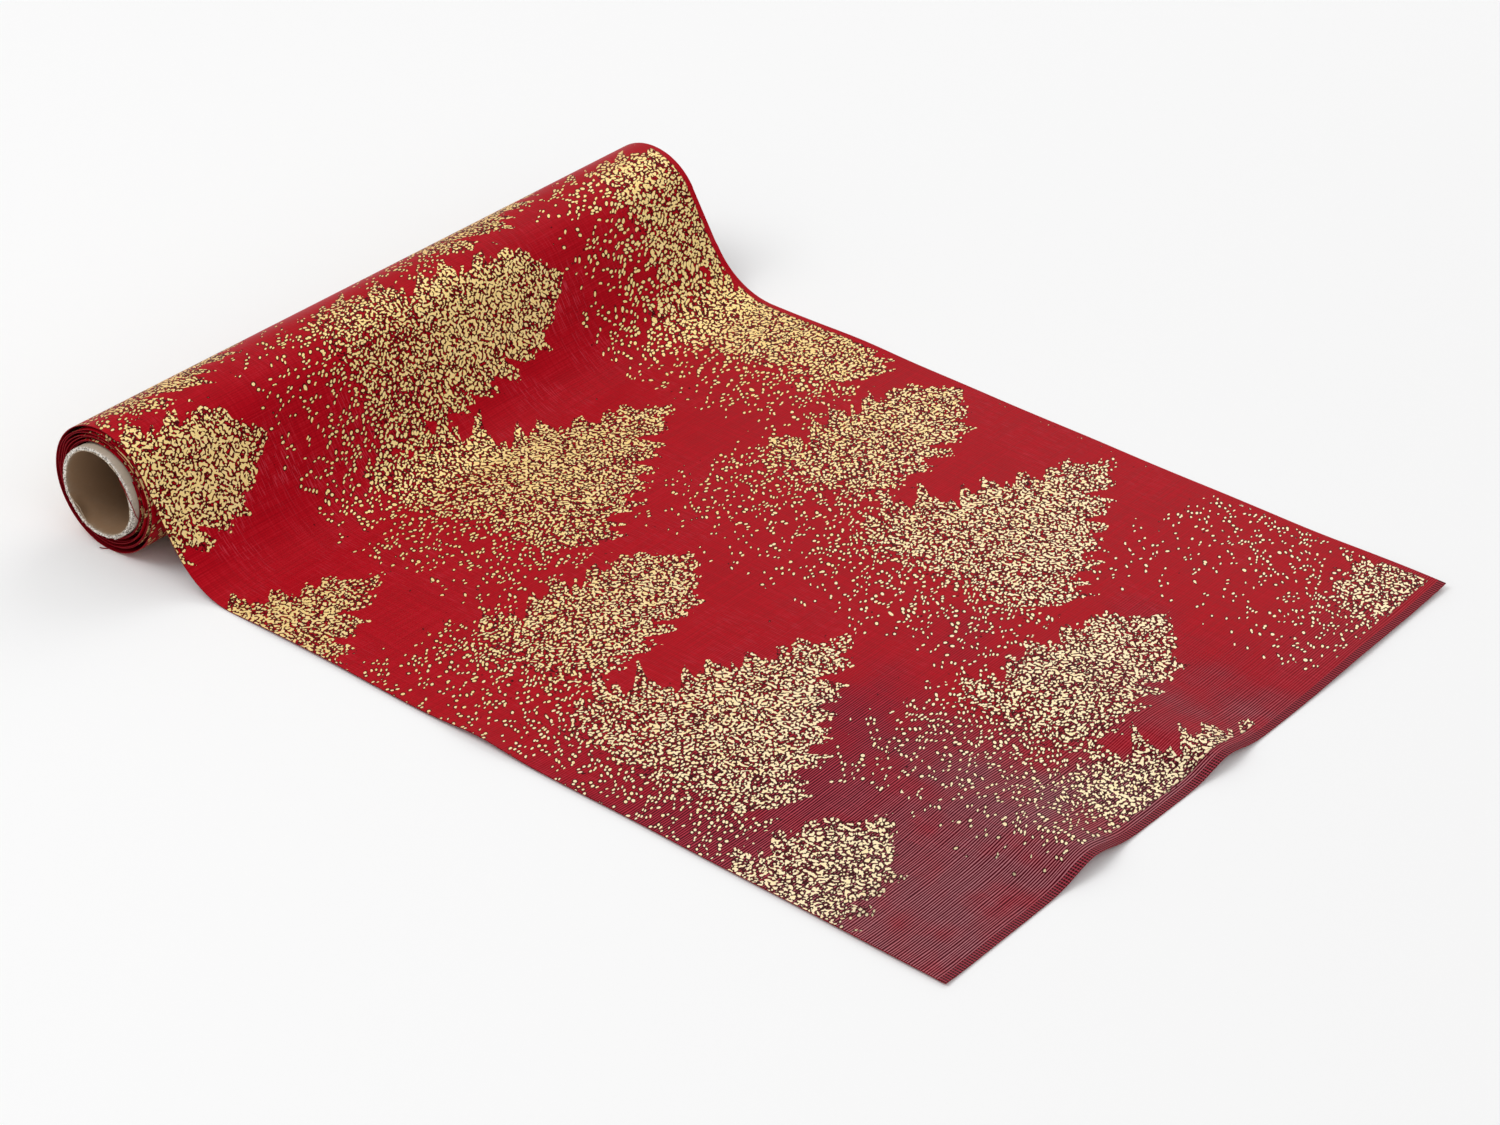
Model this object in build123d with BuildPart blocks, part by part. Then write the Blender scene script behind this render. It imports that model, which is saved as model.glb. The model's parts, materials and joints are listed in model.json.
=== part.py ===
"""A roll of printed decoration cloth on a cardboard core, with its free end drawn out flat.

The row frame: +X runs from the roll to the leading edge of the cloth, +Y along the roll's
axis and +Z up. The origin is the middle of the foot print of the whole object. The cloth
leaves the roll over the top, comes down its +X side and runs out flat. Millimetres.
"""
from math import cos, pi, radians, sin
import os

from build123d import *

# ---------------------------------------------------------------- driving dimensions

cloth_width = 280.0           # across the cloth, along the roll's axis
cloth_thickness = 0.3         # woven cloth with its foil print
laid_length = 287.0           # cloth lying flat, from the foot of the drape to the leading edge
free_end_length = 12.0        # the strip at the leading edge that a hand takes hold of

core_bore_radius = 15.0       # the hollow of the cardboard core
liner_thickness = 0.3         # smooth brown kraft that lines the bore
inner_ply_thickness = 0.45    # grey board
outer_ply_thickness = 0.45    # grey board
wrap_thickness = 0.3          # pale paper round the outside of the core
core_shift = 3.0              # how far the core stands out of the cloth's -Y end

winding_build = 6.5           # radial build-up of the wound cloth on the core
turn_count = 7                # loose turns of cloth on the core
tape_thickness = 0.2          # double-sided tape under the inner end of the cloth
tape_width = 15.0             # measured round the core
tape_end_margin = 8.0         # bare core at each end of the tape

leave_angle = 32.0            # degrees above level where the cloth leaves the roll
bend_radius = 33.0            # of the cloth's underside where the drape turns flat
turning_clearance = 0.3       # between the turning roll and the drape beside it

# ---------------------------------------------------------------- sizes that follow

inner_ply_radius = core_bore_radius + liner_thickness
outer_ply_radius = inner_ply_radius + inner_ply_thickness
wrap_radius = outer_ply_radius + outer_ply_thickness
core_radius = wrap_radius + wrap_thickness
tape_radius = core_radius + tape_thickness
roll_radius = core_radius + winding_build
core_length = cloth_width     # the core is cut to the width of the cloth

# The turns step inwards evenly, down to a last stretch that lies on the tape.
stuck_radius = tape_radius + cloth_thickness
turn_pitch = (roll_radius - stuck_radius) / turn_count
tape_degrees = tape_width / tape_radius * 180.0 / pi

# The drape runs straight down from the roll, then turns flat round the bend.
leave_sin = sin(radians(leave_angle))
leave_cos = cos(radians(leave_angle))
drape_radius = roll_radius + turning_clearance
straight_drop = roll_radius + drape_radius * leave_sin - bend_radius * (1.0 - leave_sin)
straight_length = straight_drop / leave_cos
foot_reach = (drape_radius + bend_radius) * leave_cos + straight_length * leave_sin

overall_length = roll_radius + foot_reach + laid_length
axis_x = roll_radius - overall_length / 2.0
foot_x = axis_x + foot_reach
leading_x = foot_x + laid_length
split_x = leading_x - free_end_length

cloth_start_y = (core_shift - cloth_width) / 2.0
core_start_y = (-core_shift - core_length) / 2.0

# Sketches stand on planes that look along +Y, so that sketch x is row X and sketch y is row Z.
roll_centre = (axis_x, roll_radius)


def end_plane(start_y: float) -> Plane:
    """The plane at start_y that is seen from -Y: x to the right, z up, facing -Y."""
    return Plane(origin=(0, start_y, 0), x_dir=(1, 0, 0), z_dir=(0, -1, 0))


def round_point(radius: float, degrees: float, centre: tuple = roll_centre) -> tuple:
    """A point at this radius and angle round a centre in the end plane."""
    angle = radians(degrees)
    return (centre[0] + radius * cos(angle), centre[1] + radius * sin(angle))


os.makedirs("parts", exist_ok=True)

# ---------------------------------------------------------------- the core, ply by ply

core_plies = (
    ("core_liner", core_bore_radius, inner_ply_radius),
    ("core_inner_ply", inner_ply_radius, outer_ply_radius),
    ("core_outer_ply", outer_ply_radius, wrap_radius),
    ("core_wrap", wrap_radius, core_radius),
)

for ply_name, ply_inside, ply_outside in core_plies:
    with BuildPart() as ply:
        with BuildSketch(end_plane(core_start_y)):
            with Locations(roll_centre):
                Circle(ply_outside)
                Circle(ply_inside, mode=Mode.SUBTRACT)
        extrude(amount=-core_length)
    ply.part.label = ply_name
    export_step(ply.part, f"parts/{ply_name}.step")

# ---------------------------------------------------------------- the tape on the core

tape_start = leave_angle
tape_end = leave_angle + tape_degrees
tape_length = cloth_width - core_shift - 2.0 * tape_end_margin

with BuildPart() as start_tape:
    with BuildSketch(end_plane(cloth_start_y + tape_end_margin)):
        with BuildLine():
            CenterArc(roll_centre, tape_radius, tape_start, tape_degrees)
            CenterArc(roll_centre, core_radius, tape_start, tape_degrees)
            Line(round_point(core_radius, tape_start), round_point(tape_radius, tape_start))
            Line(round_point(core_radius, tape_end), round_point(tape_radius, tape_end))
        make_face()
    extrude(amount=-tape_length)
start_tape.part.label = "start_tape"
export_step(start_tape.part, "parts/start_tape.step")

# ---------------------------------------------------------------- the wound cloth

# Half turns about two centres in turn, each half a pitch smaller than the one before, make a
# smooth spiral that starts where the cloth leaves the roll.
other_centre = round_point(-turn_pitch / 2.0, leave_angle)
half_turns = []
for half in range(2 * turn_count):
    is_even = half % 2 == 0
    half_turns.append((
        roll_centre if is_even else other_centre,
        roll_radius - half * turn_pitch / 2.0,
        leave_angle if is_even else leave_angle + 180.0,
        180.0,
    ))
half_turns.append((roll_centre, stuck_radius, leave_angle, tape_degrees))

with BuildPart() as wound_cloth:
    with BuildSketch(end_plane(cloth_start_y)):
        with BuildLine():
            for centre, radius, start_degrees, sweep_degrees in half_turns:
                CenterArc(centre, radius, start_degrees, sweep_degrees)
                CenterArc(centre, radius - cloth_thickness, start_degrees, sweep_degrees)
            Line(
                round_point(roll_radius, leave_angle),
                round_point(roll_radius - cloth_thickness, leave_angle),
            )
            Line(round_point(stuck_radius, tape_end), round_point(tape_radius, tape_end))
        make_face()
    extrude(amount=-cloth_width)
wound_cloth.part.label = "wound_cloth"
export_step(wound_cloth.part, "parts/wound_cloth.step")

# ---------------------------------------------------------------- the drape

with BuildPart() as drape:
    with BuildSketch(end_plane(cloth_start_y)):
        bend_centre = (foot_x, bend_radius)
        bend_turn = 90.0 - leave_angle
        bend_start = leave_angle + 180.0
        top_under = round_point(drape_radius, leave_angle)
        top_over = round_point(drape_radius + cloth_thickness, leave_angle)
        bend_over_radius = bend_radius - cloth_thickness
        with BuildLine():
            Line(top_under, round_point(bend_radius, bend_start, bend_centre))
            CenterArc(bend_centre, bend_radius, bend_start, bend_turn)
            Line((foot_x, 0.0), (foot_x, cloth_thickness))
            CenterArc(bend_centre, bend_over_radius, bend_start, bend_turn)
            Line(round_point(bend_over_radius, bend_start, bend_centre), top_over)
            Line(top_over, top_under)
        make_face()
    extrude(amount=-cloth_width)
drape.part.label = "drape"
export_step(drape.part, "parts/drape.step")

# ---------------------------------------------------------------- the flat cloth

flat_stretches = (
    ("laid_cloth", foot_x, laid_length - free_end_length),
    ("free_end", split_x, free_end_length),
)

for stretch_name, stretch_start, stretch_length in flat_stretches:
    with BuildPart() as stretch:
        with BuildSketch(Plane.XY):
            with Locations((stretch_start, cloth_start_y)):
                Rectangle(stretch_length, cloth_width, align=(Align.MIN, Align.MIN))
        extrude(amount=cloth_thickness)
    stretch.part.label = stretch_name
    export_step(stretch.part, f"parts/{stretch_name}.step")

print(f"overall {overall_length:.2f} x {cloth_width + core_shift:.2f} x {2.0 * roll_radius:.2f}")
print(f"roll axis at x {axis_x:.3f} z {roll_radius:.3f}; foot {foot_x:.3f}; leading {leading_x:.3f}")
print(f"turn pitch {turn_pitch:.3f}; straight run of the drape {straight_length:.2f}")
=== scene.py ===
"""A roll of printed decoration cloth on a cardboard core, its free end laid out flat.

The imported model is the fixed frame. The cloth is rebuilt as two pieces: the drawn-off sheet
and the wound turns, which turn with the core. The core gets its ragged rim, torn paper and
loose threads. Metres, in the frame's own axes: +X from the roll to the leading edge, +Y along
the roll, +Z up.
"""

from __future__ import annotations

import json
import logging
import math
import random
from dataclasses import dataclass
from enum import Enum
from typing import Callable, ClassVar, Sequence, Union

import bmesh
import bpy
from mathutils import Matrix, Vector, noise

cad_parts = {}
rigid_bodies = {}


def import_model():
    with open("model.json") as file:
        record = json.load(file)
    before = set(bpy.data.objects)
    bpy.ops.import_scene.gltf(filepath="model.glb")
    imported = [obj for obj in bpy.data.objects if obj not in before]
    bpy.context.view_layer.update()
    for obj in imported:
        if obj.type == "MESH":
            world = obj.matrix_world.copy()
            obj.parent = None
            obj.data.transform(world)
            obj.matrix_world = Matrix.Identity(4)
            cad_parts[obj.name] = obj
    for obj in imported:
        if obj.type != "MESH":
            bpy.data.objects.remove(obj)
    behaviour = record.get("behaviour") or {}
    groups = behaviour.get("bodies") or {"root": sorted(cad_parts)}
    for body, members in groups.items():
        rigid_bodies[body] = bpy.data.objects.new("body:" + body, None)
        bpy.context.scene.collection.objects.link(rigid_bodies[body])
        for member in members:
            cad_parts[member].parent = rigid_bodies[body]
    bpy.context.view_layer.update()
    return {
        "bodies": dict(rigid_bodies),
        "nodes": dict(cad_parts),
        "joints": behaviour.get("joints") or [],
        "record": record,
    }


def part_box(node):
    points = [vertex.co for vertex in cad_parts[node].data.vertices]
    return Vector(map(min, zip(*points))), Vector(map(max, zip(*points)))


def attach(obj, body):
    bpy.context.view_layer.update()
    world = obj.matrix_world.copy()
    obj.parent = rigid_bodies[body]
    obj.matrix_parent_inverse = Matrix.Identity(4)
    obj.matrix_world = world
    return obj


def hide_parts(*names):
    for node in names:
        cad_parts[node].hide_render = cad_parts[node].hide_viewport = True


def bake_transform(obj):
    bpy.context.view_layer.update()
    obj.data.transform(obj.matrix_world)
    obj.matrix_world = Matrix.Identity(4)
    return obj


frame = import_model()
MM = 0.001
TO_MM = 1000.0
CLOTH_PLACE = "cloth_place"
log = logging.getLogger("cloth_roll")

Colour = tuple[float, float, float, float]


# ---------------------------------------------------------------- sizes from the frame


@dataclass(frozen=True)
class RollPlan:
    """Where the roll and its cloth stand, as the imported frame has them.

    Attributes:
        axis_x: The roll axis's place along X. Its height is the roll's radius.
        radius: Outside radius of the wound cloth.
        near_y: The -Y edge of the cloth.
        far_y: The +Y edge of the cloth.
        leading_x: The leading edge of the laid-out cloth.
        core_near_y: The -Y end of the core, which stands out of the cloth.
        core_far_y: The +Y end of the core.
        bore_radius: Radius of the core's bore.
        core_radius: Outside radius of the core.
        thickness: Thickness of the cloth.
        leave_angle: Angle above level where the cloth leaves the roll.
        bend_radius: Radius of the bend from the drape to the flat cloth.
    """

    axis_x: float
    radius: float
    near_y: float
    far_y: float
    leading_x: float
    core_near_y: float
    core_far_y: float
    bore_radius: float
    core_radius: float
    thickness: float
    leave_angle: float = math.radians(32.0)
    bend_radius: float = 33.0 * MM

    @classmethod
    def from_frame(cls, packed: dict) -> RollPlan:
        """Reads the plan from the loaded frame.


        Returns:
            The plan of this roll.
        """
        bore = next(m for m in packed["record"]["mounts"] if m["name"] == "core_bore")
        wrap_low, wrap_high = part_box("core_wrap")
        cloth_low, cloth_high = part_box("laid_cloth")
        return cls(
            axis_x=bore["pos_m"][0],
            radius=bore["pos_m"][2],
            near_y=cloth_low.y,
            far_y=cloth_high.y,
            leading_x=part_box("free_end")[1].x,
            core_near_y=wrap_low.y,
            core_far_y=wrap_high.y,
            bore_radius=bore["dims"]["r_mm"] * MM,
            core_radius=(wrap_high.z - wrap_low.z) / 2.0,
            thickness=cloth_high.z - cloth_low.z,
        )

    @property
    def width(self) -> float:
        """Width of the cloth along the roll."""
        return self.far_y - self.near_y

    def round_point(self, radius: float, angle: float, y: float) -> Vector:
        """A point round the roll's axis.

        Args:
            radius: Its distance from the axis.
            angle: Its angle above level, from the +X side.
            y: Its place along the roll.

        Returns:
            The point.
        """
        return Vector((
            self.axis_x + radius * math.cos(angle),
            y,
            self.radius + radius * math.sin(angle),
        ))


def smoothstep(low: float, high: float, value: float) -> float:
    """Rises smoothly from 0 at low to 1 at high."""
    share = min(1.0, max(0.0, (value - low) / (high - low)))
    return share * share * (3.0 - 2.0 * share)


def bell(value: float, centre: float, width: float) -> float:
    """A smooth hump of height 1 at centre."""
    return math.exp(-(((value - centre) / width) ** 2))


def lerp(low: float, high: float, share: float) -> float:
    """The value at this share of the way from low to high."""
    return low + (high - low) * share


# ---------------------------------------------------------------- shader formulas

Value = Union[float, "Term"]

# Blender's Mix node has sockets for every data type, told apart only by their order.
MIX_VALUE_A, MIX_VALUE_B = 2, 3
MIX_COLOUR_A, MIX_COLOUR_B, MIX_COLOUR_OUT = 6, 7, 2


class Term:
    """An output of a shader node that can be used in a formula.

    Attributes:
        graph: The graph the node belongs to.
        socket: The output socket.
    """

    def __init__(self, graph: ShaderGraph, socket: bpy.types.NodeSocket) -> None:
        """Wraps one output socket."""
        self.graph = graph
        self.socket = socket

    def __add__(self, other: Value) -> Term:
        """Adds."""
        return self.graph.math("ADD", self, other)

    def __sub__(self, other: Value) -> Term:
        """Subtracts."""
        return self.graph.math("SUBTRACT", self, other)

    def __rsub__(self, other: Value) -> Term:
        """Subtracts from a number."""
        return self.graph.math("SUBTRACT", other, self)

    def __mul__(self, other: Value) -> Term:
        """Multiplies."""
        return self.graph.math("MULTIPLY", self, other)

    def __truediv__(self, other: Value) -> Term:
        """Divides."""
        return self.graph.math("DIVIDE", self, other)

    __radd__ = __add__
    __rmul__ = __mul__

    def least(self, other: Value) -> Term:
        """The smaller of the two."""
        return self.graph.math("MINIMUM", self, other)

    def most(self, other: Value) -> Term:
        """The larger of the two."""
        return self.graph.math("MAXIMUM", self, other)

    def size(self) -> Term:
        """The value without its sign."""
        return self.graph.math("ABSOLUTE", self)

    def floor(self) -> Term:
        """The whole number at or below the value."""
        return self.graph.math("FLOOR", self)

    def wrapped(self, period: Value) -> Term:
        """The value's remainder, from 0 up to the period."""
        return self.graph.math("FLOORED_MODULO", self, period)

    def sine(self) -> Term:
        """The sine of the value in radians."""
        return self.graph.math("SINE", self)

    def step(self, low: Value, high: Value) -> Term:
        """Rises smoothly from 0 at low to 1 at high."""
        return self.graph.smooth_range(self, low, high, 0.0, 1.0)


class ShaderGraph:
    """Adds nodes and links to one shader tree, so that a pattern reads as a formula.

    Attributes:
        tree: The node tree being built.
    """

    def __init__(self, tree: bpy.types.NodeTree) -> None:
        """Starts on a tree."""
        self.tree = tree

    def add(self, kind: str, **settings: object) -> bpy.types.Node:
        """Adds one node.

        Args:
            kind: Blender's name of the node type.
            **settings: Properties to set on it.

        Returns:
            The new node.
        """
        node = self.tree.nodes.new(kind)
        for name, value in settings.items():
            setattr(node, name, value)
        return node

    def feed(self, socket: bpy.types.NodeSocket, value: object) -> None:
        """Links a term to an input socket, or sets a constant on it.

        Args:
            socket: The input socket.
            value: A term to link, or a constant to set.
        """
        if isinstance(value, Term):
            self.tree.links.new(value.socket, socket)
        else:
            socket.default_value = value

    def wired(self, node: bpy.types.Node, *terms: Value) -> Term:
        """Feeds a node's inputs in order.

        Args:
            node: The node.
            *terms: Terms or numbers for its first inputs.

        Returns:
            Its first output.
        """
        for socket, term in zip(node.inputs, terms):
            self.feed(socket, term)
        return Term(self, node.outputs[0])

    def math(self, operation: str, *terms: Value) -> Term:
        """One arithmetic step between terms or numbers."""
        return self.wired(self.add("ShaderNodeMath", operation=operation), *terms)

    def smooth_range(self, value: Value, low: Value, high: Value, first: Value, last: Value) -> Term:
        """Maps low..high to first..last with an eased course, held beyond both ends."""
        node = self.add("ShaderNodeMapRange", interpolation_type="SMOOTHSTEP")
        return self.wired(node, value, low, high, first, last)

    def point(self, x: Value = 0.0, y: Value = 0.0, z: Value = 0.0) -> Term:
        """A vector from three terms or numbers."""
        return self.wired(self.add("ShaderNodeCombineXYZ"), x, y, z)

    def split(self, vector: Term) -> tuple[Term, Term, Term]:
        """The three parts of a vector.

        Args:
            vector: The vector.

        Returns:
            Its x, y and z.
        """
        node = self.add("ShaderNodeSeparateXYZ")
        self.feed(node.inputs[0], vector)
        return tuple(Term(self, output) for output in node.outputs)

    def noise(self, vector: Term, scale: float, detail: float = 2.0) -> Term:
        """Smooth noise from 0 to 1.

        Args:
            vector: Where it is sampled.
            scale: How many waves it has to one unit.
            detail: How many finer layers are added.

        Returns:
            The noise.
        """
        node = self.add("ShaderNodeTexNoise", noise_dimensions="3D")
        self.feed(node.inputs["Vector"], vector)
        node.inputs["Scale"].default_value = scale
        node.inputs["Detail"].default_value = detail
        return Term(self, node.outputs["Fac"])

    def colour_mix(self, share: Value, first: object, second: object) -> Term:
        """The colour at a share of the way from the first to the second.

        Args:
            share: The share, held to 0..1.
            first: The colour at 0.
            second: The colour at 1.

        Returns:
            The mixed colour.
        """
        node = self.add("ShaderNodeMix", data_type="RGBA", clamp_factor=True)
        self.feed(node.inputs["Factor"], share)
        self.feed(node.inputs[MIX_COLOUR_A], first)
        self.feed(node.inputs[MIX_COLOUR_B], second)
        return Term(self, node.outputs[MIX_COLOUR_OUT])

    def value_mix(self, share: Value, first: Value, second: Value) -> Term:
        """The number at a share of the way from the first to the second.

        Args:
            share: The share, held to 0..1.
            first: The number at 0.
            second: The number at 1.

        Returns:
            The mixed number.
        """
        node = self.add("ShaderNodeMix", data_type="FLOAT", clamp_factor=True)
        self.feed(node.inputs["Factor"], share)
        self.feed(node.inputs[MIX_VALUE_A], first)
        self.feed(node.inputs[MIX_VALUE_B], second)
        return Term(self, node.outputs[0])

    def curve(self, value: Term, span: float, stops: Sequence[tuple[float, float]]) -> Term:
        """A smooth course through stops.

        Args:
            value: Where it is read.
            span: The value at its end.
            stops: Places from 0 to span, each with its level from 0 to 1.

        Returns:
            The level at the value.
        """
        node = self.add("ShaderNodeValToRGB")
        self.feed(node.inputs[0], value / span)
        ramp = node.color_ramp
        ramp.interpolation = "EASE"
        while len(ramp.elements) < len(stops):
            ramp.elements.new(0.5)
        for element, (place, level) in zip(ramp.elements, stops):
            element.position = place / span
            element.color = (level, level, level, 1.0)
        return Term(self, node.outputs[0])

    def use(self, group: bpy.types.NodeTree, **values: object) -> dict[str, Term]:
        """Places a node group.

        Args:
            group: The group to place.
            **values: Its inputs by name, with underscores for spaces.

        Returns:
            Its outputs by name.
        """
        node = self.add("ShaderNodeGroup", node_tree=group)
        for name, value in values.items():
            self.feed(node.inputs[name.replace("_", " ")], value)
        return {output.name: Term(self, output) for output in node.outputs}


class NodeGroup:
    """A shader node group with named sockets, built once and shared by its name.

    Attributes:
        tree: The group's own tree.
        graph: The graph that fills it.
        given: The group's inputs by name.
    """

    def __init__(self, name: str, inputs: dict[str, object], outputs: dict[str, str]) -> None:
        """Makes the group and its sockets.

        Args:
            name: The group's name.
            inputs: Each input's name, with a number or a 3-vector as its default.
            outputs: Each output's name, with its socket type.
        """
        self.tree = bpy.data.node_groups.new(name, "ShaderNodeTree")
        for label, default in inputs.items():
            kind = "NodeSocketVector" if isinstance(default, tuple) else "NodeSocketFloat"
            socket = self.tree.interface.new_socket(label, in_out="INPUT", socket_type=kind)
            socket.default_value = default
        for label, kind in outputs.items():
            self.tree.interface.new_socket(label, in_out="OUTPUT", socket_type=kind)
        self.graph = ShaderGraph(self.tree)
        entry = self.graph.add("NodeGroupInput")
        self.given = {s.name: Term(self.graph, s) for s in entry.outputs if s.name}
        self._exit = self.graph.add("NodeGroupOutput")

    def give(self, **values: object) -> None:
        """Links the group's outputs, by name with underscores for spaces."""
        for name, value in values.items():
            self.graph.feed(self._exit.inputs[name.replace("_", " ")], value)


FLOAT = "NodeSocketFloat"


def fir_group() -> bpy.types.NodeTree:
    """How densely a fir is printed, from the distance off its trunk and below its tip, in mm.

    Returns:
        The group's tree.
    """
    group = NodeGroup(
        "fir",
        {"Off Trunk": 0.0, "Below Tip": 0.0, "Tip Slope": 0.57, "Skirt": 21.0, "Skirt Slope": 0.22},
        {"Reach": FLOAT},
    )
    graph, given = group.graph, group.given
    off, below = given["Off Trunk"], given["Below Tip"]
    away = off.size()
    side = (off.step(-0.1, 0.1)) * 40.0
    # Twigs point up and outwards, so their rows follow below + away.
    twig = graph.noise(graph.point((below + away) * 0.13, (away - below) * 0.02, side), 1.0, 1.5)
    bough = graph.noise(graph.point((below + away * 0.8) * 0.055, side, 3.0), 1.0, 0.0)
    reach = (given["Tip Slope"] * below).least(given["Skirt"] + given["Skirt Slope"] * below)
    ragged = (twig - 0.54) * 44.0 + (bough - 0.5) * 26.0
    edge = reach + ragged * (below.step(2.0, 45.0) * 0.9 + 0.1) - away
    group.give(Reach=edge)
    return group.tree


@dataclass(frozen=True)
class FirRow:
    """One kind of fir in the print's half-drop repeat, in millimetres of cloth.

    Attributes:
        first: Its trunk's distance from the leading edge.
        tip: How far below the cloth's far edge its tip stands.
        outline: Slope of the tip, then width and slope of the skirt.
        levels: Depth below the tip and the density of print there.
        pitch: Distance along the cloth from one trunk to the next.
        drop: How far every other fir is dropped.
        repeat: Distance down the cloth from one fir to the next.
    """

    first: float
    tip: float
    outline: tuple[float, float, float]
    levels: tuple[tuple[float, float], ...]
    pitch: ClassVar[float] = 139.0
    drop: ClassVar[float] = 75.0
    repeat: ClassVar[float] = 150.0


def foil_density_group() -> bpy.types.NodeTree:
    """How densely the half-dropped rows of firs are printed at a place on the cloth, in mm.

    Returns:
        The group's tree.
    """
    group = NodeGroup("fir_rows", {"Along": 0.0, "Down": 0.0}, {"Density": FLOAT})
    graph, given = group.graph, group.given
    fir = fir_group()
    rows = (
        FirRow(130.0, 3.0, (0.57, 20.0, 0.27), (
            (0.0, 0.74), (18.0, 0.84), (36.0, 1.0), (70.0, 1.0), (90.0, 0.74),
            (106.0, 0.48), (126.0, 0.28), (150.0, 0.10))),
        FirRow(199.5, 0.0, (0.9, 17.0, 0.18), (
            (0.0, 0.78), (12.0, 0.92), (28.0, 1.0), (48.0, 0.94), (72.0, 0.68),
            (94.0, 0.46), (118.0, 0.26), (150.0, 0.08))),
    )
    total = None
    cloud = graph.noise(graph.point(given["Along"] * 0.09, given["Down"] * 0.09), 1.0, 2.0)
    for row in rows:
        column = ((given["Along"] - row.first) / FirRow.pitch + 0.5).floor()
        off = given["Along"] - row.first - column * FirRow.pitch
        drop = column.wrapped(2.0) * FirRow.drop + row.tip
        below = (given["Down"] - drop).wrapped(FirRow.repeat)
        slope, skirt, skirt_slope = row.outline
        reach = graph.use(
            fir, Off_Trunk=off, Below_Tip=below, Tip_Slope=slope, Skirt=skirt,
            Skirt_Slope=skirt_slope,
        )["Reach"]
        level = graph.curve(below + (cloud - 0.5) * 30.0, FirRow.repeat, row.levels)
        part = reach.step(-1.5, 2.5) * level * (reach.step(0.0, 14.0) * 0.35 + 0.65)
        total = part if total is None else total.most(part)
    uneven = (cloud - 0.5) * 0.35 * total.step(0.05, 0.5)
    worn = given["Along"].step(115.0, 80.0) * given["Along"].step(20.0, 42.0)
    worn = worn * given["Down"].step(80.0, 45.0) * 0.4
    fuller = given["Along"].step(250.0, 330.0) * 0.46 + 0.84
    group.give(Density=((total + uneven) * (fuller - worn)).least(1.0).most(0.004))
    return group.tree


def speck_group() -> bpy.types.NodeTree:
    """Foil specks: separate dots where they are sparse, worm-like runs where they are dense.

    Returns:
        The group's tree.
    """
    group = NodeGroup(
        "foil_specks",
        {"Along": 0.0, "Down": 0.0, "Density": 0.5, "Girth": 1.0},
        {"Mask": FLOAT, "Shadow": FLOAT, "Tint": FLOAT},
    )
    graph, given = group.graph, group.given
    along, down, density = given["Along"], given["Down"], given["Density"]
    worms = graph.noise(graph.point(along * 0.58, down * 0.52, 1.0), 1.0, 0.0)
    kinks = graph.noise(graph.point(along * 0.92, down * 0.84, 9.0), 1.0, 0.0)
    height = (worms - 0.5).size() * 1.5 + (kinks - 0.5) * 0.7
    lean = graph.noise(graph.point(along * 0.12, down * 0.12, 4.0), 1.0, 0.0) - 0.5
    cells = graph.add("ShaderNodeTexVoronoi", voronoi_dimensions="2D", feature="F1")
    leaning = along + down * 0.25 + lean * 5.0
    graph.feed(cells.inputs["Vector"], graph.point(leaning / 1.5, down / 2.5))
    cells.inputs["Scale"].default_value = 1.0
    cells.inputs["Randomness"].default_value = 0.95
    distance = Term(graph, cells.outputs["Distance"])
    chance, girth, tint = graph.split(Term(graph, cells.outputs["Color"]))
    absent = (density * 1.8 - chance).step(0.02, -0.02)
    girth_here = given["Girth"] * (girth * 0.12 + 0.19 + density * 0.06)
    crowd = density.step(0.45, 0.90)
    dot = girth_here - distance - absent - crowd * 0.16
    worm = height - 0.15 - (1.0 - density) * 0.26 - density.step(0.45, 0.30) * 0.8
    level = dot.most(worm)
    mask = level.step(-0.02, 0.04)
    shadow = level.step(-0.30, -0.05)
    group.give(Mask=mask, Shadow=shadow, Tint=tint)
    return group.tree


def weave_group() -> bpy.types.NodeTree:
    """Fine ribs across the cloth, crossed by weaker warp threads, with slubs. Millimetres.

    Returns:
        The group's tree.
    """
    group = NodeGroup(
        "ribbed_weave",
        {"Along": 0.0, "Down": 0.0, "Rib Pitch": 0.87, "Thread Pitch": 0.6},
        {"Rib": FLOAT, "Thread": FLOAT, "Slub": FLOAT},
    )
    graph, given = group.graph, group.given
    along, down = given["Along"], given["Down"]
    wander = graph.noise(graph.point(along * 0.3, down * 0.03), 1.0, 2.0)
    rib = ((along + wander * 1.2) * math.tau / given["Rib Pitch"]).sine() * 0.5 + 0.5
    sway = graph.noise(graph.point(along * 0.03, down * 0.3, 7.0), 1.0, 2.0)
    thread = ((down + sway * 1.2) * math.tau / given["Thread Pitch"]).sine() * 0.5 + 0.5
    slub_a = graph.noise(graph.point(along * 1.1, down * 0.035, 2.0), 1.0, 3.0)
    slub_b = graph.noise(graph.point(along * 0.035, down * 1.1, 5.0), 1.0, 3.0)
    group.give(Rib=rib, Thread=thread, Slub=(slub_a + slub_b) * 0.5)
    return group.tree


class Effects(Enum):
    """The node groups that materials share."""

    FIRS = "fir_rows"
    SPECKS = "foil_specks"
    WEAVE = "ribbed_weave"

    def tree(self) -> bpy.types.NodeTree:
        """The group, made the first time it is asked for.

        Returns:
            The group's tree.
        """
        makers = {
            Effects.FIRS: foil_density_group,
            Effects.SPECKS: speck_group,
            Effects.WEAVE: weave_group,
        }
        return bpy.data.node_groups.get(self.value) or makers[self]()


# ---------------------------------------------------------------- finishes


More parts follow.
